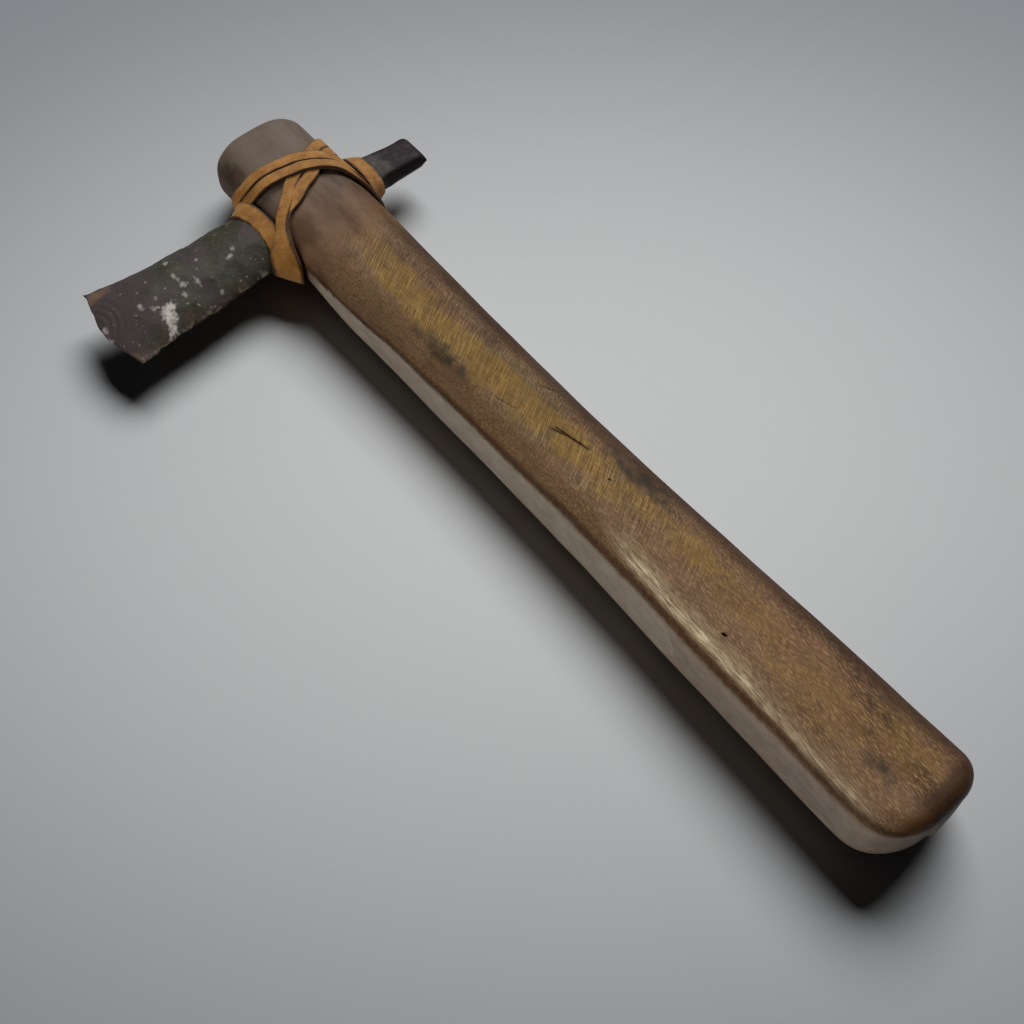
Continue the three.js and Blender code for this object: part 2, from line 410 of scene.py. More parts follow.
def makeScars(form):
    # shallow scooped flake scars along both long edges and near the cutting edge, on both faces
    draw = random.Random(form["scarSeed"])
    scars = []
    for face in (1, -1):
        for side in (-1, 1):
            d = 20.0
            while d < stoneLength + 3:
                reach = draw.uniform(4.5, 9.5)
                edge = through(stoneHead if side < 0 else stoneButt, min(d, stoneLength))
                depth = form["scarDepth"] * draw.uniform(0.35, 1.15) * (1.25 if side > 0 else 0.7)
                place = (edge - side * draw.uniform(-1.0, 3.5), form["buttY"] - d)
                scars.append((face, place, reach, reach * draw.uniform(0.6, 0.95), depth,
                              draw.uniform(-0.5, 0.5)))
                d += draw.uniform(4.0, 8.5)
        for i in range(form["faceScars"]):
            place = (-130 + draw.uniform(-18, 18), form["buttY"] - draw.uniform(95, stoneLength - 2))
            reach = draw.uniform(5, 11)
            scars.append((face, place, reach, reach * draw.uniform(0.7, 1.0),
                          form["scarDepth"] * draw.uniform(0.25, 0.6), draw.uniform(-1.5, 1.5)))
    return scars


def scarDepth(scars, face, x, y):
    deepest = 0.0
    for scarFace, place, reach, width, depth, turn in scars:
        if scarFace != face:
            continue
        dx, dy = x - place[0], y - place[1]
        if abs(dx) > 12 or abs(dy) > 12:
            continue
        a = (dx * math.cos(turn) + dy * math.sin(turn)) / reach
        b = (dy * math.cos(turn) - dx * math.sin(turn)) / width
        deepest = max(deepest, depth * (1 - a * a - b * b))
    return deepest


def ripples(form, x, y):
    # faint curved waves that spread from a blow at the cutting edge
    reach = math.hypot(x - form["blow"][0], (y - form["blow"][1]) * 1.2)
    fade = smooth(2.5, 5, reach) * (1 - smooth(9, 15, reach))
    return form["rippleHeight"] * fade * math.sin(reach * 2 * math.pi / form["rippleSpacing"])


def makeStone(form):
    bm = bar(*form["cuts"])
    scars = makeScars(form)
    for vert in bm.verts:
        u, v, w = vert.co
        p = stonePoint(u, v, w, form)
        d = (v + 1) / 2 * stoneLength
        visible = smooth(14, 26, d)
        if abs(w) > 0.5:
            face = 1 if w > 0 else -1
            half = abs(p.z - form["midZ"])
            bite = min(scarDepth(scars, face, p.x, p.y) * visible, max(0.0, half - 0.25))
            p.z -= face * (bite + ripples(form, p.x, p.y) * smooth(0.4, 1.5, half))
        # the long edges are chipped into shallow scallops
        rim = abs(u) ** 6
        side = 1 if u > 0 else -1
        chip = noise.noise(Vector((p.y / 5.2, side * 7.3, 1.7)))
        chip += 0.5 * noise.noise(Vector((p.y / 2.1, side, 9.1)))
        p.x -= side * rim * max(0.0, chip + 0.1) * (1.25 if side > 0 else 0.5) * visible
        endRim = smooth(stoneLength - 3, stoneLength, d)
        p.y += endRim * max(0.0, noise.noise(Vector((p.x / 4.4, 2.2, 5.0)))) * 0.8
        coarse, fine = form["roughness"]
        rough = noise.noise(p / 3.1) * coarse + noise.noise(p / 1.1) * fine
        p.z += rough * w
        vert.co = p
    return bm


# wooden handle

handleForm = {
    "length": 342.0,
    "axisY": 20.85,
    "left": [(-171, 19.3), (-105, 19.3), (-35, 18.1), (35, 18.2), (105, 19.9), (171, 21.0)],
    "right": [(-171, 19.2), (-105, 19.1), (-40, 18.3), (8, 17.8), (55, 18.8), (105, 20.2), (171, 21.7)],
    "top": [(-171, 27.2), (-105, 27.4), (-35, 26.6), (35, 27.0), (105, 29.2), (171, 30.3)],
    "squareness": [(-171, 2.5), (-105, 2.6), (0, 2.8), (171, 3.3)],
    "underSquareness": [(-171, 2.6), (-105, 3.0), (-60, 4.0), (145, 3.8), (171, 2.2)],
    "headLift": 3.7,
    "headLiftSpan": (-111, -83),
    "restCut": 0.8,
    "headRound": (11, 9.5, 8, 8),  # blade side and far side in plan, top, underneath
    "buttRound": (18, 10.5, 5.0, 15),
    "endSpan": 15.0,  # the ends are meshed more finely over this length
    "endDome": 1.1,
    # direction round the handle in degrees (0 is +Y, 90 the top) and how deep that facet is pared
    "facets": [
        (127, [(-171, 0.0), (-120, 0.05), (-60, 0.35), (10, 0.7), (90, 0.95), (150, 0.9), (171, 0.3)]),
        (178, [(-171, 0.0), (-110, 0.1), (0, 0.35), (171, 0.35)]),
        (90, [(-171, 0.15), (-60, 0.1), (60, 0.25), (171, 0.25)]),
        (49, [(-171, 0.0), (-60, 0.25), (60, 0.3), (171, 0.3)]),
        (2, [(-171, 0.1), (0, 0.25), (171, 0.3)]),
        (226, [(-171, 0.0), (-60, 0.4), (171, 0.5)]),
        (314, [(-171, 0.0), (-60, 0.4), (171, 0.5)]),
    ],
    "facetCrispness": 34,
    "waveHeight": 0.26,
    "grainHeight": 0.03,
    "cuts": (500, 47, 29),
    # splits and small knocks in the skin: start and end as (x, across from the axis), width, depth
    "splits": [
        ((3.6, 1.3), (17.0, 3.9), 0.7, 0.9), ((2.8, -0.2), (8.6, 2.0), 0.55, 0.7),
        ((90.6, -9.2), (92.5, -8.5), 1.15, 1.8), ((-89.0, -16.0), (-87.0, -16.5), 1.3, 0.35),
        ((-83.6, -14.9), (-81.6, -15.4), 1.5, 0.45), ((-34.0, -10.4), (-9.0, -3.5), 0.3, 0.15),
        ((-12.0, 8.6), (-6.6, 11.6), 0.45, 0.5), ((28.9, 1.2), (30.5, 1.8), 1.1, 0.5)],
    "darkSplits": 2,  # the first ones are darker inside and along their lips
    # height of the line between the top and the side face, which carries a painted sheen
    "sideLine": [(-120, 16.0), (-85, 16.8), (-60, 18.8), (-40, 19.2), (-15, 19.9), (25, 21.0), (91, 22.9),
                 (171, 25.0)],
}


def handleSection(x, form):
    half = form["length"] / 2
    level = smooth(*form["headLiftSpan"], x)
    low = form["headLift"] * (1 - level) - form["restCut"] * level
    high = through(form["top"], x)
    fromHead, fromButt = half + x, half - x
    corners = zip(form["headRound"], form["buttRound"])
    inset = [rounding(head, fromHead) + rounding(butt, fromButt) for head, butt in corners]
    return {
        "left": through(form["left"], x) - inset[0],
        "right": through(form["right"], x) - inset[1],
        "up": (high - low) / 2 - inset[2],
        "down": (high - low) / 2 - inset[3],
        "midZ": (high + low) / 2,
        "n": through(form["squareness"], x),
        "nUnder": through(form["underSquareness"], x),
        "x": x,
        "fade": smooth(0, 16, fromHead) * smooth(0, 14, fromButt),
    }


def sectionRadius(section, angle, form):
    # distance from the handle's axis to its skin: a squarish oval pared by flat facets
    c, s = math.cos(angle), math.sin(angle)
    wide = section["right"] if c > 0 else section["left"]
    tall = section["up"] if s > 0 else section["down"]
    n = section["n"] if s > 0 else section["nUnder"]
    inverse = ((abs(c) / wide) ** n + (abs(s) / tall) ** n) ** (1 / n)
    crisp = form["facetCrispness"]
    total = inverse ** crisp
    for direction, depths in form["facets"]:
        way = math.radians(direction)
        facing = math.cos(angle - way)
        if facing < 0.35:
            continue
        fc, fs = abs(math.cos(way)), abs(math.sin(way))
        fWide = section["right"] if math.cos(way) > 0 else section["left"]
        fTall = section["up"] if math.sin(way) > 0 else section["down"]
        fn = section["n"] if math.sin(way) > 0 else section["nUnder"]
        m = fn / (fn - 1)
        reach = ((fWide * fc) ** m + (fTall * fs) ** m) ** (1 / m)
        reach -= through(depths, section["x"]) * section["fade"]
        total += (facing / reach) ** crisp
    return total ** (-1 / crisp)


def handleSkin(x, angle, gap, form):
    # a point just off the plain oval skin, for the lacing; angle as on the facets
    section = handleSection(x, form)
    c, s = math.cos(angle), math.sin(angle)
    bend = 2 / (section["n"] if s > 0 else section["nUnder"])
    wide = section["right"] if c > 0 else section["left"]
    tall = section["up"] if s > 0 else section["down"]
    y = (wide + gap) * power(c, bend)
    z = (tall + gap) * power(s, bend)
    return Vector((x, form["axisY"] + y, section["midZ"] + z))


def makeHandle(form):
    bm = bar(*form["cuts"])
    half = form["length"] / 2
    span = form["endSpan"]
    sections = {}
    for vert in bm.verts:
        u, v, w = vert.co
        place = abs(u) * half
        fromEnd = half - place
        if fromEnd < span:  # rows crowd together where the ends round over
            fromEnd = span * (1 - math.cos(fromEnd / span * math.pi / 2))
        x = math.copysign(half - fromEnd, u)
        key = round(x, 4)
        if key not in sections:
            sections[key] = handleSection(x, form)
        section = sections[key]
        ring = max(abs(v), abs(w))
        wide = (section["left"] + section["right"]) / 2
        tall = (section["up"] + section["down"]) / 2
        angle = math.atan2(w / ring * tall ** 0.8, v / ring * wide ** 0.8) if ring > 1e-6 else 0.0
        radius = sectionRadius(section, angle, form) * ring
        onEnd = 1 - smooth(0, 12, fromEnd)
        x -= math.copysign(form["endDome"] * onEnd * ring * ring, u)
        out = Vector((0, math.cos(angle), math.sin(angle)))
        p = Vector((x, form["axisY"], section["midZ"])) + out * radius
        wave = noise.noise(Vector((x / 34, p.y / 17, p.z / 17)) + Vector((3.1, 0, 0)))
        wave += 0.45 * noise.noise(Vector((x / 15, p.y / 8, p.z / 8)))
        p += out * (wave - 0.35) * form["waveHeight"] * ring
        p += out * noise.noise(Vector((x / 26, p.y / 1.9, p.z / 1.9))) * form["grainHeight"] * ring
        p.z = max(0.0, p.z)
        vert.co = p
    return bm


# leather lacing

lacingForm = {
    "overWidth": 4.4,
    "underWidth": 4.9,
    "collarWidth": 6.8,
    "thick": 1.4,
    "bladeCollarThick": 1.2,
    "gap": 0.12,
    "overPitch": 4.5,
    "underPitch": 5.5,
    # angle round the handle (0 is the far side, 90 the top, 180 the blade side) and place along it
    "overTurn": [(0, -117.5), (15, -122.5), (35, -129.5), (60, -134.8), (90, -139.8), (120, -142.2),
                 (150, -143.8), (180, -146), (225, -143.5), (270, -131), (315, -119), (345, -116)],
    "underTurn": [(0, -146.5), (30, -144), (60, -140.5), (90, -134), (110, -127.5), (145, -119),
                  (165, -113.5), (180, -110), (225, -117), (270, -131), (315, -143), (345, -146.5)],
    "startAngle": 262,
    "turns": 2,
    "firstTurnLift": 0.42,
    "underTuck": 5.0,
    "shoulderAside": 1.2,
    "shoulderLift": 2.7,
    "shoulderLean": 0.55,
    "shoulderSpread": 1.35,
    # place, lean against the wood and inward tuck of the turns round the stone
    "bladeCollar": (-2.3, 0.50, 2.2),
    "farCollar": (43.9, 0.38, 0.0),
    "stepsPerTurn": 120,
    "collarSteps": 84,
}


def keyed(route):
    # the same turn repeated, from one before to two after
    return [(angle + 360 * turn, x) for turn in (-1, 0, 1, 2) for angle, x in route]


def wrapClimb(degrees):
    # the over turns ride up where they cross the under turns, on top and underneath
    d = degrees % 360
    top = smooth(28, 60, d) * (1 - smooth(112, 146, d))
    under = smooth(228, 256, d) * (1 - smooth(284, 312, d))
    return max(top, under)


def layStrip(bm, frames, width, thick, seed, roll=None):
    # a flat thong laid along frames of (centre, outward, along), with uneven dark cut edges;
    # roll gives a lean and a widening at each frame
    strip = bar(len(frames) - 2, 13, 3)
    cutEdge = strip.verts.layers.float.new("cutEdge")
    for vert in strip.verts:
        u, v, w = vert.co
        k = min(len(frames) - 1, max(0, round((u + 1) / 2 * (len(frames) - 1))))
        ragged = 0.10 * noise.noise(Vector((k / 3.1, seed, v)))
        ragged += 0.05 * noise.noise(Vector((k / 1.3, seed, v * 3)))
        vert[cutEdge] = smooth(0.80, 0.95, abs(v) + ragged)
        centre, outward, along = frames[k]
        across = along.cross(outward)
        lean, spread = roll(k) if roll else (0.0, 1.0)
        across, outward = (across * math.cos(lean) + outward * math.sin(lean),
                           outward * math.cos(lean) - across * math.sin(lean))
        uneven = 1 + 0.06 * noise.noise(Vector((k / 7, seed, v)))
        uneven += 0.03 * noise.noise(Vector((k / 1.9, seed, v * 2)))
        plump = 1 + 0.10 * noise.noise(Vector((k / 9, seed + 5, v * 1.5)))
        cup = -0.08 * v * v + 0.10 * noise.noise(Vector((k / 8, seed + 9, v)))
        soft = 1 - 0.12 * v ** 8
        vert.co = centre + across * (v * width * spread / 2 * uneven * (1 - 0.05 * w * w)) + outward * (
            w * thick / 2 * plump * soft + cup)
    scratch = bpy.data.meshes.new("scratch")
    bmesh.ops.recalc_face_normals(strip, faces=strip.faces)
    strip.to_mesh(scratch)
    strip.free()
    bm.from_mesh(scratch)
    bpy.data.meshes.remove(scratch)


def framesFrom(points, outward, closed=False):
    frames = []
    last = len(points) - 1
    for k, (p, out) in enumerate(zip(points, outward)):
        before = points[k - 1] if k > 0 else (points[last - 1] if closed else p)
        after = points[k + 1] if k < last else (points[1] if closed else p)
        along = (after - before).normalized()
        flat = (out - along * out.dot(along)).normalized()
        frames.append((p, flat, along))
    return frames


def handleWrap(route, shift, lift, form):
    start = form["startAngle"]
    steps = form["turns"] * form["stepsPerTurn"]
    stations = keyed(route)
    points, outward = [], []
    for i in range(steps + 1):
        degrees = start + 360 * form["turns"] * i / steps
        angle = math.radians(degrees % 360)
        x = through(stations, degrees) + shift(degrees)
        p = handleSkin(x, angle, 0, handleForm)
        side = handleSkin(x, angle + 0.04, 0, handleForm) - handleSkin(x, angle - 0.04, 0, handleForm)
        normal = Vector((0, side.z, -side.y)).normalized()
        points.append(p + normal * (form["gap"] + form["thick"] / 2 + lift(degrees)))
        outward.append(normal)
    return framesFrom(points, outward)


def stoneWrap(collar, form):
    # a turn round the stone beside the handle; tilt leans its inner edge up against the wood,
    # and tuck draws its upper run closer in
    y, tilt, tuck = collar
    away = -1 if y < handleForm["axisY"] else 1
    d = stoneForm["buttY"] - y
    left, right, full = through(stoneHead, d), through(stoneButt, d), through(stoneThick, d)
    off = form["gap"] + form["thick"] / 2 + 0.25
    points, outward = [], []
    for i in range(form["collarSteps"] + 1):
        angle = i / form["collarSteps"] * 2 * math.pi
        c, s = math.cos(angle), math.sin(angle)
        x = (left + right) / 2 - ((right - left) / 2 + off) * power(c, 0.9)
        z = stoneForm["midZ"] + (full / 2 + off) * power(s, 0.75)
        out = Vector((-c / (right - left), 0, s / full)).normalized()
        points.append(Vector((x, y + tuck * max(0.0, s) ** 2, z)))
        outward.append((out * math.cos(tilt) + Vector((0, away, 0)) * math.sin(tilt)).normalized())
    return framesFrom(points, outward, closed=True)


def makeLacing(form):
    bm = bmesh.new()
    bm.verts.layers.float.new("cutEdge")
    thick = form["thick"]

    def secondTurn(degrees):
        return smooth(575, 640, degrees)

    def overStep(degrees):
        return form["overPitch"] * (secondTurn(degrees) - 0.5)

    def overLift(degrees):
        return wrapClimb(degrees) * (thick - 0.05) + form["firstTurnLift"] * (1 - secondTurn(degrees))

    def shoulder(degrees):
        # where the under turns leave the handle's shoulder for the side of the stone
        d = degrees % 360
        return smooth(142, 172, d) * (1 - smooth(192, 232, d))

    def underStep(degrees):
        d = degrees % 360
        tuck = form["underTuck"] * smooth(92, 132, d) * (1 - smooth(185, 225, d))
        aside = form["shoulderAside"] * shoulder(degrees)
        second = secondTurn(degrees)
        return form["underPitch"] * (second - 0.5) - tuck * second + aside * (1 - second)

    def underLift(degrees):
        d = degrees % 360
        ride = 0.8 * smooth(105, 138, d) * (1 - smooth(190, 235, d))
        return (ride + form["shoulderLift"] * shoulder(degrees)) * (1 - secondTurn(degrees))

    def underRoll(k):
        degrees = form["startAngle"] + k / form["stepsPerTurn"] * 360
        share = shoulder(degrees) * (1 - secondTurn(degrees))
        return form["shoulderLean"] * share, 1 + form["shoulderSpread"] * share

    over = handleWrap(form["overTurn"], overStep, overLift, form)
    under = handleWrap(form["underTurn"], underStep, underLift, form)
    layStrip(bm, under, form["underWidth"], thick, 1.3, underRoll)
    layStrip(bm, over, form["overWidth"], thick, 4.7)
    layStrip(bm, stoneWrap(form["bladeCollar"], form), form["collarWidth"], form["bladeCollarThick"], 8.1)
    layStrip(bm, stoneWrap(form["farCollar"], form), form["collarWidth"], thick, 11.9)
    return bm


# finishes

woodColours = {
    "dark": (0.030, 0.013, 0.006),
    "brown": (0.140, 0.066, 0.027),
    "mauve": (0.138, 0.078, 0.044),
    "golden": (0.190, 0.106, 0.019),
    "stain": (0.030, 0.021, 0.012),
    "grey": (0.122, 0.094, 0.074),
    # painted sheen: the side face is lightened as if catching reflected light
    "sideSheenGrey": (0.285, 0.235, 0.188),
    "scratch": (0.42, 0.26, 0.08),
    "scuff": (0.43, 0.26, 0.13),
    "olive": (0.095, 0.078, 0.028),
    # pale wear, and the painted highlight along the ridge
    "wearAndHighlight": (0.68, 0.55, 0.36),
    "amber": (0.085, 0.033, 0.006),
}


def makeWood(colours):
    material, tree, surface, coords = newMaterial("wornWood")
    place = addNode(tree, "Mapping", {"Vector": coords, "Scale": (1000, 1000, 1000),
                                      "Location": (0, -handleForm["axisY"], 0)}).outputs[0]

    def lines(turn, spacing, length, low, high, shift=0.0):
        return useGroup(tree, strokes, {"Vector": place, "Angle": math.radians(turn), "Spacing": spacing,
                                        "Length": length, "Low": low, "High": high, "Shift": shift})

    def tint(under, name, amount):
        return mixColour(tree, amount, under, colours[name])

    def patchy(name, low, high=1.0):
        return times(tree, attribute(tree, name), mapRange(tree, small, 0, 1, low, high))

    # broad colour: brown, mauve along the near half, moss, a golden belt and a grey head
    patches = useGroup(tree, mottle, {"Vector": place, "Size": 11.0, "Stretch": 2.4, "Low": 0.36,
                                      "High": 0.62})
    small = useGroup(tree, mottle, {"Vector": place, "Size": 3.2, "Stretch": 1.8, "Low": 0.34, "High": 0.66,
                                    "Shift": 23.0})
    mossy = useGroup(tree, mottle, {"Vector": place, "Size": 7.0, "Stretch": 2.6, "Low": 0.46, "High": 0.62,
                                    "Shift": 91.0})
    both = mathNode(tree, "ADD", times(tree, patches, 0.75), times(tree, small, 0.25))
    hatched = attribute(tree, "hatched")
    base = mixColour(tree, both, colours["dark"], colours["brown"])
    base = tint(base, "mauve", patchy("mauve", 0.45, 0.95))
    base = tint(base, "olive", times(tree, times(tree, mossy, hatched), 0.5))
    base = tint(base, "golden", patchy("golden", 0.55))
    base = tint(base, "grey", patchy("greyHead", 0.7))

    # lengthwise grain, with short pale dashes towards the butt
    grain = lines(0, 0.62, 13.0, 0.42, 0.70)
    grainZone = mapRange(tree, hatched, 0, 1, 0.09, 0.24)
    base = tint(base, "dark", times(tree, grain, grainZone))
    dashes = lines(6, 0.32, 1.9, 0.48, 0.70, 41.0)
    dashZone = times(tree, attribute(tree, "dashed"), 0.58)
    pale = mixColour(tree, attribute(tree, "golden"), colours["scuff"], colours["scratch"])
    base = mixColour(tree, times(tree, dashes, dashZone), base, pale)

    # fine scratches: two leaning sets across the grain, each in its own patches, and one along it
    crossA = lines(-118, 0.34, 10.0, 0.475, 0.565)
    crossB = lines(-124, 0.36, 9.0, 0.475, 0.57, 31.0)
    lengthwise = lines(-14, 0.38, 6.0, 0.50, 0.66, 9.0)
    zone = useGroup(tree, mottle, {"Vector": place, "Size": 8.0, "Stretch": 1.3, "Low": 0.36, "High": 0.62,
                                   "Shift": 57.0})
    across = addNode(tree, "Mix", {0: zone, 2: crossA, 3: crossB}, data_type="FLOAT").outputs[0]
    hatch = mathNode(tree, "ADD", times(tree, across, 0.85), times(tree, lengthwise, 0.4), clamp=True)
    hatchZone = times(tree, hatched, mapRange(tree, patches, 0, 1, 0.45, 1.0))
    between = mathNode(tree, "SUBTRACT", 1.0, hatch)
    base = tint(base, "dark", times(tree, times(tree, between, hatchZone), 0.50))
    base = mixColour(tree, times(tree, times(tree, hatch, hatchZone), 0.42), base, pale)

    # stains, wear with a painted highlight on the ridge, a painted sheen on the side face, the dark rim,
    # and dark marks with painted shade
    base = tint(base, "stain", patchy("stain", 0.6))
    # pale wear and a painted highlight along the ridge, broken into streaks
    wearAndHighlightStreaks = lines(5, 0.5, 5.0, 0.36, 0.60, 77.0)
    wearAndHighlight = times(tree, attribute(tree, "ridge"), mapRange(tree, wearAndHighlightStreaks, 0, 1, 0.2, 1.0))
    base = tint(base, "wearAndHighlight", times(tree, wearAndHighlight, 0.95))
    # painted sheen on the side face
    base = tint(base, "sideSheenGrey", patchy("paintedSideSheen", 0.72))
    base = tint(base, "amber", attribute(tree, "amber"))
    # dark marks, with painted shade on the far side and beside the blade
    base = tint(base, "dark", attribute(tree, "darkMarksAndShade"))

    rough = mapRange(tree, patches, 0, 1, 0.62, 0.50)
    rough = mathNode(tree, "SUBTRACT", rough, times(tree, wearAndHighlight, 0.16))
    marks = times(tree, times(tree, hatch, hatchZone), 0.6)
    height = mathNode(tree, "ADD", marks, times(tree, times(tree, grain, grainZone), -1.6))
    height = mathNode(tree, "ADD", height, times(tree, dashes, times(tree, dashZone, 0.8)))
    joinSurface(tree, surface, base, rough, height, 0.6, 0.00022, 0.11)
    return material


stoneColours = {
    "dark": (0.020, 0.020, 0.012),
    "green": (0.053, 0.051, 0.034),
    "purple": (0.048, 0.036, 0.038),
    "brown": (0.066, 0.040, 0.030),
    "rust": (0.125, 0.075, 0.048),
    "speck": (0.24, 0.23, 0.17),
    # pale deposits, and the painted highlight along the butt's lower edge
    "paleDepositsAndGlint": (0.50, 0.47, 0.42),
    "polished": (0.012, 0.005, 0.007),
}


def makeStoneFinish(colours):
    material, tree, surface, coords = newMaterial("flakedStone")
    place = addNode(tree, "Mapping", {"Vector": coords, "Scale": (1000, 1000, 1000)}).outputs[0]
    broad = useGroup(tree, mottle, {"Vector": place, "Size": 6.0, "Low": 0.28, "High": 0.74})
    fine = useGroup(tree, mottle, {"Vector": place, "Size": 1.5, "Low": 0.35, "High": 0.68, "Shift": 17.0})
    specks = useGroup(tree, flecks, {"Vector": place, "Size": 2.4, "Share": 0.26, "Radius": 0.36,
                                     "Ragged": 0.9})
    crumbs = useGroup(tree, flecks, {"Vector": place, "Size": 1.1, "Share": 0.24, "Radius": 0.34,
                                     "Ragged": 0.8})
    polished = attribute(tree, "polished")
    unpolished = mathNode(tree, "SUBTRACT", 1.0, polished)

    def tint(under, name, amount):
        return mixColour(tree, amount, under, colours[name])

    def patchy(name, low):
        return times(tree, attribute(tree, name), mapRange(tree, fine, 0, 1, low, 1.0))

    base = mixColour(tree, broad, colours["dark"], colours["green"])
    base = tint(base, "green", times(tree, fine, 0.3))
    base = tint(base, "dark", times(tree, attribute(tree, "shaded"), 0.5))
    base = tint(base, "purple", patchy("purple", 0.65))
    base = tint(base, "brown", patchy("brownEdge", 0.5))
    base = tint(base, "rust", attribute(tree, "rust"))
    base = tint(base, "polished", polished)
    pale = mathNode(tree, "ADD", specks, times(tree, crumbs, 0.8), clamp=True)
    base = tint(base, "speck", times(tree, times(tree, pale, unpolished), 0.8))
    base = tint(base, "speck", times(tree, attribute(tree, "edgeWear"), 0.6))
    # pale deposits and a painted highlight along the butt's lower edge
    base = tint(base, "paleDepositsAndGlint", patchy("paleDepositsAndGlint", 0.65))

    rough = mathNode(tree, "ADD", mapRange(tree, fine, 0, 1, 0.46, 0.64), times(tree, polished, 0.08))
    height = mathNode(tree, "ADD", times(tree, fine, 0.5), times(tree, broad, 0.8))
    joinSurface(tree, surface, base, rough, height, 0.5, 0.00025, 0.15)
    return material


leatherColours = {
    "tan": (0.350, 0.160, 0.038),
    "deep": (0.205, 0.085, 0.016),
    "cut": (0.026, 0.009, 0.003),
    "fleck": (0.07, 0.028, 0.010),
}


def makeLeather(colours):
    material, tree, surface, coords = newMaterial("tanLeather")
    place = addNode(tree, "Mapping", {"Vector": coords, "Scale": (1000, 1000, 1000)}).outputs[0]
    broad = useGroup(tree, mottle, {"Vector": place, "Size": 4.5, "Low": 0.36, "High": 0.64})
    nap = useGroup(tree, mottle, {"Vector": place, "Size": 0.55, "Low": 0.3, "High": 0.7, "Shift": 13.0})
    spots = useGroup(tree, flecks, {"Vector": place, "Size": 1.5, "Share": 0.22, "Radius": 0.32,
                                    "Ragged": 0.6})
    base = mixColour(tree, broad, colours["deep"], colours["tan"])
    base = mixColour(tree, times(tree, nap, 0.3), base, colours["deep"])
    base = mixColour(tree, times(tree, spots, 0.55), base, colours["fleck"])
    base = mixColour(tree, attribute(tree, "cutEdge"), base, colours["cut"])
    rough = mapRange(tree, nap, 0, 1, 0.72, 0.9)
    height = mathNode(tree, "ADD", nap, times(tree, broad, 1.5))
    joinSurface(tree, surface, base, rough, height, 0.6, 0.00025, 0.3)
    surface.inputs["Sheen Weight"].default_value = 0.25
    surface.inputs["Sheen Roughness"].default_value = 0.6
    surface.inputs["Sheen Tint"].default_value = (0.9, 0.6, 0.35, 1)
    return material


def paint(piece, masks):
    # one number per point for each named mask; place and normal are given in millimetres
    mesh = piece.data
    for name, rule in masks.items():
        values = [min(1.0, max(0.0, rule(v.co / mm, v.normal))) for v in mesh.vertices]
        mesh.attributes.new(name, "FLOAT", "POINT").data.foreach_set("value", values)


def blot(p, centre, radius, ragged, seed=0.0):
    # a soft uneven stain on the surface, past 1 at its heart and under 0 outside it
    reach = ((p.x - centre[0]) / radius[0]) ** 2 + ((p.y - centre[1]) / radius[1]) ** 2
    return 1.15 - reach + ragged * noise.noise(Vector((p.x / 3, p.y / 3, p.z / 3 + seed)))


def spot(p, centre, radius, ragged, seed=0.0):
    # the same, held between 0 and 1
    return min(1.0, max(0.0, blot(p, centre, radius, ragged, seed)))


# the three pieces

def topHeight(x, across, form):
    # height of the handle's skin over a place, found by halving the angle
    section = handleSection(x, form)
    low, high = 0.2, math.pi - 0.2
    for i in range(24):
        angle = (low + high) / 2
        radius = sectionRadius(section, angle, form)
        if radius * math.cos(angle) > across:
            low = angle
        else:
            high = angle
    return section["midZ"] + radius * math.sin(angle)


def splitCutter(split, form):
    # a slim spindle that leaves a V-shaped split when cut away
    start, end, width, depth = split
    bm = bar(14, 1, 1)
    run, rise = end[0] - start[0], end[1] - start[1]
    length = math.hypot(run, rise)
    for vert in bm.verts:
        u, v, w = vert.co
        x = start[0] + run * (u + 1) / 2
        across = start[1] + rise * (u + 1) / 2
        taper = max(0.06, (1 - u * u) ** 0.6)
        shake = 0.25 * width * noise.noise(Vector((x / 1.7, across, width)))
        half = v * width / 2 * taper * (1.0 if w > 0 else 0.25) + shake
        skin = topHeight(x, across, form)
        vert.co = Vector((x - half * rise / length, form["axisY"] + across + half * run / length,
                          skin + 0.8 if w > 0 else skin - depth * taper))
    return bm


def cutAway(piece, shape):
    cutter = meshObject("cutter", shape)
    hole = piece.modifiers.new("cut", "BOOLEAN")
    hole.object = cutter
    hole.operation = "DIFFERENCE"
    hole.solver = "EXACT"
    depsgraph = bpy.context.evaluated_depsgraph_get()
    mesh = bpy.data.meshes.new_from_object(piece.evaluated_get(depsgraph))
    piece.modifiers.clear()
    piece.data = mesh
    mesh.name = piece.name
    bpy.data.objects.remove(cutter)


def stoneSleeve(form):
    bm = bar(14, 40, 6)
    for vert in bm.verts:
        vert.co = stonePoint(*vert.co, form, swell=0.25)
    return bm


handle = finishPiece("woodenHandle", makeHandle(handleForm), makeWood(woodColours), "wooden_handle")
cutAway(handle, stoneSleeve(stoneForm))
for split in handleForm["splits"]:
    cutAway(handle, splitCutter(split, handleForm))

axisY = handleForm["axisY"]
# places along the handle and across from its axis
ridgeLine = [(20, -8.6), (67, -12.6), (110, -14.2), (158, -16.2)]
beltLine = [(-100, 2.0), (-67, -2.0), (-40, -1.4), (0, 0.6), (27, 1.2)]
# centre, half sizes and strength of each spot
goldenSpots = [((31, -2.3), (9, 4), 0.75), ((43, 3.6), (14, 4), 0.75), ((64, 4.3), (16, 5), 0.75),
               ((92, 2), (22, 6), 0.4), ((122, -2), (24, 8), 0.4), ((150, 6), (14, 7), 0.4)]
paleChips = [((-88.0, -16.2), (2.2, 1.2)), ((-82.5, -15.2), (2.3, 1.3)), ((29.6, 1.5), (1.3, 0.9)),
             ((57.5, -11.0), (2.4, 1.0)), ((162.4, 9.3), (1.2, 1.0))]


def onHandle(centre):
    return centre[0], axisY + centre[1]


def wander(p, size, shift=0.0):
    return noise.noise(Vector((p.x / size / 1.6, p.y / size, p.z / size + shift)))


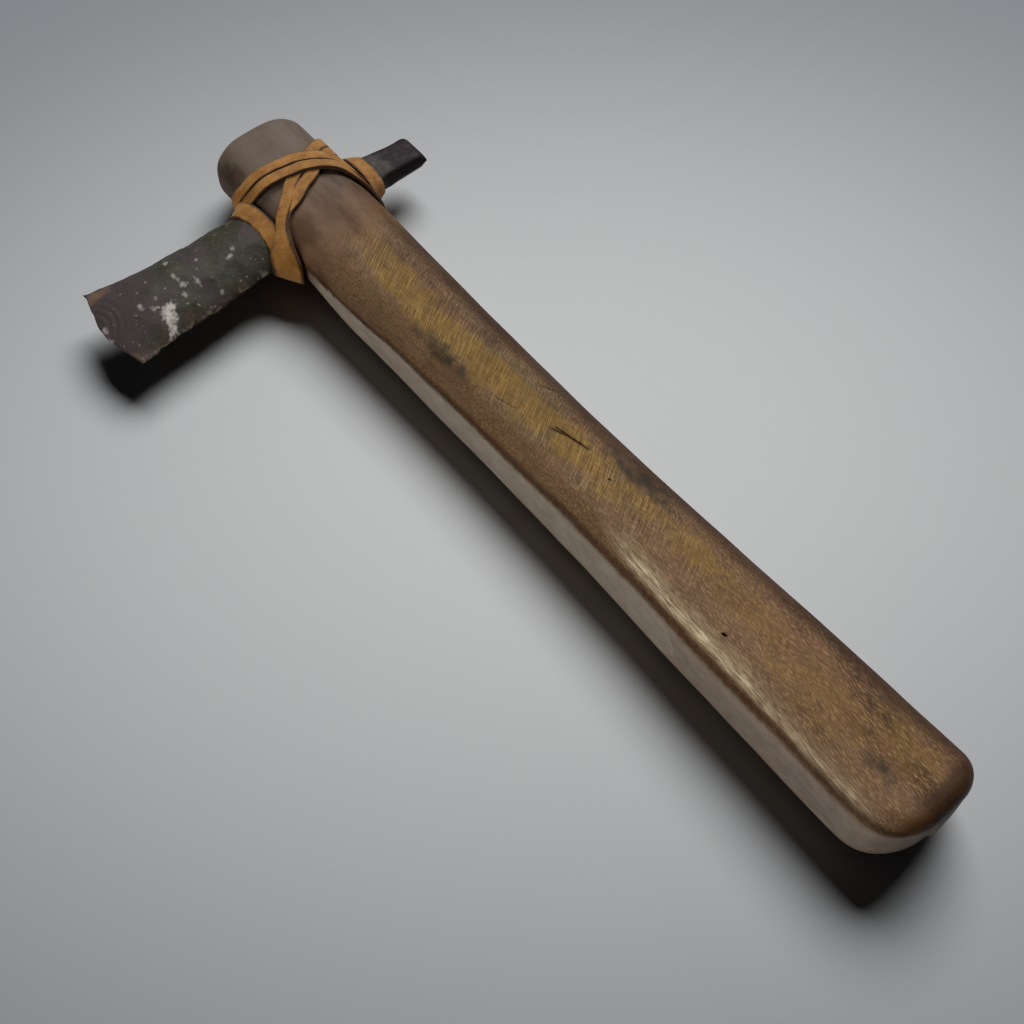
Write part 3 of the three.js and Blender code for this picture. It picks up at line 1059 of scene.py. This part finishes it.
def sideHeight(p):
    return through(handleForm["sideLine"], p.x) + 0.35 * wander(p, 9)


def arcPlace(p):
    # the curved mark that crosses the side face
    return 81.9 - 0.095 * (p.z - 13.2) ** 2


def goldenRule(p, n):
    off = abs(p.y - axisY - through(beltLine, p.x))
    belt = 1 - smooth(3.2, 7.5, off + 2.6 * wander(p, 5))
    belt *= smooth(-108, -74, p.x) * (1 - smooth(18, 38, p.x))
    for centre, radius, strength in goldenSpots:
        belt = max(belt, strength * spot(p, onHandle(centre), radius, 0.9, 2.0))
    return belt * smooth(0.3, 0.7, n.z)


# painted sheen: the side face below the side line is lightened, a little less beyond the arc mark
def sideSheenRule(p, n):
    upright = smooth(0.55, 0.85, math.hypot(max(0.0, -n.y), max(0.0, n.x)))
    tone = 1 - 0.22 * smooth(arcPlace(p) - 0.6, arcPlace(p) + 0.6, p.x)
    line = sideHeight(p) + 0.8 * noise.noise(p / 1.6)
    return upright * (1 - smooth(line - 0.7, line + 0.7, p.z)) * smooth(-112, -96, p.x) * tone


def arcRule(p, n):
    level = 1 - smooth(0.3, 1.1, abs(p.x - arcPlace(p)))
    return level * smooth(0.6, 0.9, -n.y) * smooth(9, 13, p.z) * (1 - smooth(20, 22, p.z))


# painted highlight along the ridge: a bright core and a soft glow above it; the pale chips and the arc mark
# are wear
def ridgeRule(p, n):
    off = p.y - axisY - through(ridgeLine, p.x) + 0.5 * wander(p, 5)
    core = (1 - smooth(0.6, 2.0, abs(off))) * (0.7 + 0.3 * smooth(-0.15, 0.3, noise.noise(p / 3.5)))
    glow = 0.42 * (1 - smooth(0.5, 5.5, off)) * smooth(-2.5, -1.0, off)
    line = max(core, glow) * (1 - 0.45 * smooth(95, 125, p.x))
    for centre, radius in paleChips:
        line = max(line * smooth(14, 60, p.x), 0.8 * spot(p, onHandle(centre), radius, 0.5, 6.0))
    return max(line * smooth(0.1, 0.4, n.z) * (1 - smooth(150, 164, p.x)), 0.5 * arcRule(p, n))


def stainRule(p, n):
    if n.z < 0.2:
        return 0.0
    near = 0.85 * blot(p, onHandle((-44, -8.0)), (17, 3.4), 0.8)
    far = 0.9 * blot(p, onHandle((34, 9.6)), (23, 3.6), 1.0, 4.0)
    butt = 0.75 * blot(p, onHandle((148.5, -4.5)), (6.5, 2.8), 0.9, 8.0)
    head = 0.7 * blot(p, onHandle((-155, -16)), (7, 3.0), 0.8, 3.0)
    return max(near, far, butt, head)


def splitRule(p, n):
    # the open splits are dark inside and along their lips
    across = p.y - axisY
    level = 0.0
    for start, end, *_ in handleForm["splits"][:handleForm["darkSplits"]]:
        run, rise = end[0] - start[0], end[1] - start[1]
        t = ((p.x - start[0]) * run + (across - start[1]) * rise) / (run * run + rise * rise)
        t = min(1.0, max(0.0, t))
        away = math.hypot(p.x - start[0] - run * t, across - start[1] - rise * t)
        level = max(level, 0.7 * (1 - smooth(0.2, 0.8, away)) * smooth(0.2, 0.6, n.z))
    return level


# dark marks and painted shade: painted shade on the far side and on the faces turned to the blade at the
# head; a dark line along the top of the side face, a darker patch beside the lashing, the dark butt rim,
# the pit and the dark splits
def darkMarksAndShadeRule(p, n):
    across = p.y - axisY
    line = sideHeight(p)
    farSideShade = 0.8 * smooth(0.12, 0.75, n.y) * smooth(-112, -84, p.x)
    seam = 0.7 * (1 - smooth(0.3, 1.5, abs(p.z - line - 0.7))) * smooth(0.3, 0.6, -n.y)
    seam *= smooth(-100, -70, p.x)
    rim = 0.85 * smooth(160.8, 165, p.x + 0.010 * (across - 4) ** 2) * smooth(line - 0.2, line + 0.6, p.z)
    rim *= 1 - 0.75 * (1 - smooth(-9, -1, across))
    lash = 0.4 * spot(p, onHandle((-116, -12)), (9, 6), 0.8, 1.0)
    bladeSideShade = 0.6 * smooth(0.3, 0.9, -n.y) * (1 - smooth(-128, -112, p.x))
    pit = spot(p, onHandle((91.5, -8.8)), (1.1, 0.8), 0.2, 5.0)
    return max(farSideShade, seam, rim, lash, bladeSideShade, pit, splitRule(p, n))


def hatchRule(p, n):
    top = smooth(0.05, 0.5, n.z) * smooth(-114, -84, p.x) * (1 - 0.8 * smooth(30, 105, p.x))
    return top * (1 - 0.35 * (1 - smooth(-10, -4, p.y - axisY)))


def dashRule(p, n):
    return smooth(0.2, 0.7, n.z) * (0.12 + 0.88 * smooth(-10, 70, p.x)) * smooth(-115, -85, p.x)


def amberRule(p, n):
    rim = 0.8 * smooth(163, 166.5, p.x) * smooth(25.2, 26.2, p.z) * smooth(0.10, 0.3, n.z)
    return rim * (1 - smooth(-7, 2, p.y - axisY))


paint(handle, {
    "golden": goldenRule,
    "hatched": hatchRule,
    "mauve": lambda p, n: (1 - smooth(-6, 1, p.y - axisY + 3 * wander(p, 6, 9.0))) * smooth(0.1, 0.4, n.z),
    "dashed": dashRule,
    "greyHead": lambda p, n: 1 - smooth(-150, -100, p.x - 8 * noise.noise(p / 9)),
    "paintedSideSheen": sideSheenRule,
    "ridge": ridgeRule,
    "amber": amberRule,
    "stain": stainRule,
    "darkMarksAndShade": darkMarksAndShadeRule,
})
print("handle made")

stone = finishPiece("stoneBlade", makeStone(stoneForm), makeStoneFinish(stoneColours), "stone_blade")
# pale deposits on the upper face: place, half sizes, and 1 for a ring with an open middle
whiteSpots = [
    (-119.6, -46.6, 3.4, 2.5, 0), (-121.8, -44.6, 1.8, 2.6, 0), (-116.2, -48.6, 2.4, 1.6, 0),
    (-112.4, -49.2, 2.2, 1.9, 1), (-111.2, -43.2, 1.7, 1.1, 1), (-128.2, -52.6, 1.5, 1.0, 0),
    (-124.6, -49.3, 1.4, 1.1, 0), (-128.2, -46.6, 0.8, 0.7, 0), (-128.3, -14.1, 1.2, 0.9, 0),
    (-126.4, -16.8, 0.8, 1.5, 0), (-132.8, -26.7, 0.8, 0.7, 0), (-139.8, -35.3, 1.5, 0.9, 0),
    (-117.0, -26.7, 0.9, 0.6, 0), (-123.2, -37.8, 1.3, 0.9, 0), (-130.6, -66.4, 1.5, 1.0, 0),
    (-126.2, -67.4, 1.7, 0.9, 0), (-130.5, -36.6, 2.6, 0.7, 0), (-126.8, -36.0, 1.3, 1.2, 0),
    (-124.8, -31.2, 2.4, 0.6, 0)]
thickSpots = 5  # the first ones are the main scale, the rest are fainter


def depositsAndGlintRule(p, n):
    buttSide = smooth(50, 54, p.y) * smooth(0.5, 0.8, n.x)
    best = 0.8 * buttSide * (1 - smooth(0.3, 0.9, abs(p.z - 13.2)))  # painted highlight: a bright line along the butt's lower edge
    if n.z < 0:
        return best
    for i, (x, y, halfX, halfY, ring) in enumerate(whiteSpots):
        if abs(p.x - x) > 6 or abs(p.y - y) > 6:
            continue
        reach = math.hypot((p.x - x) / halfX, (p.y - y) / halfY)
        reach += 0.75 * noise.noise(Vector((p.x / 1.1, p.y / 1.1, i * 3.7)))
        level = 1 - (smooth(0.12, 0.42, abs(reach - 0.85)) if ring else smooth(0.35, 1.15, reach))
        best = max(best, level * (0.95 if i < thickSpots else 0.5))
    return best


def purpleRule(p, n):
    edge = 1 - smooth(-58, -40, p.y + 0.5 * (p.x + 130) - 12 * noise.noise(p / 9))
    return max(edge, 0.8 * smooth(0.12, 0.34, noise.noise(p / 11 + Vector((4, 0, 0)))))


def brownRule(p, n):
    return 0.9 * smooth(-118, -112.5, p.x + 5 * noise.noise(p / 5)) * (1 - smooth(-20, -12, p.y))


def polishRule(p, n):
    end = smooth(51, 54.5, p.y + 2.4 * noise.noise(p / 3) - 0.25 * (p.x + 128))
    return max(end, 0.8 * smooth(46, 50, p.y) * smooth(0.4, 0.7, n.x))


def edgeRule(p, n):
    level = smooth(0.6, 0.85, abs(n.x)) * smooth(0.0, 0.3, noise.noise(p / 1.4))
    return level * (1 - smooth(44, 50, p.y))


paint(stone, {
    "purple": purpleRule,
    "brownEdge": brownRule,
    "rust": lambda p, n: 0.75 * blot(p, (-145.5, -60.5), (2.6, 6.0), 0.8),
    "polished": polishRule,
    "edgeWear": edgeRule,
    "shaded": lambda p, n: smooth(-26, -12, p.y + 7 * noise.noise(p / 6)),
    "paleDepositsAndGlint": depositsAndGlintRule,
})
print("stone made")

lacing = finishPiece("leatherLacing", makeLacing(lacingForm), makeLeather(leatherColours), "leather_lacing")
print("lacing made")
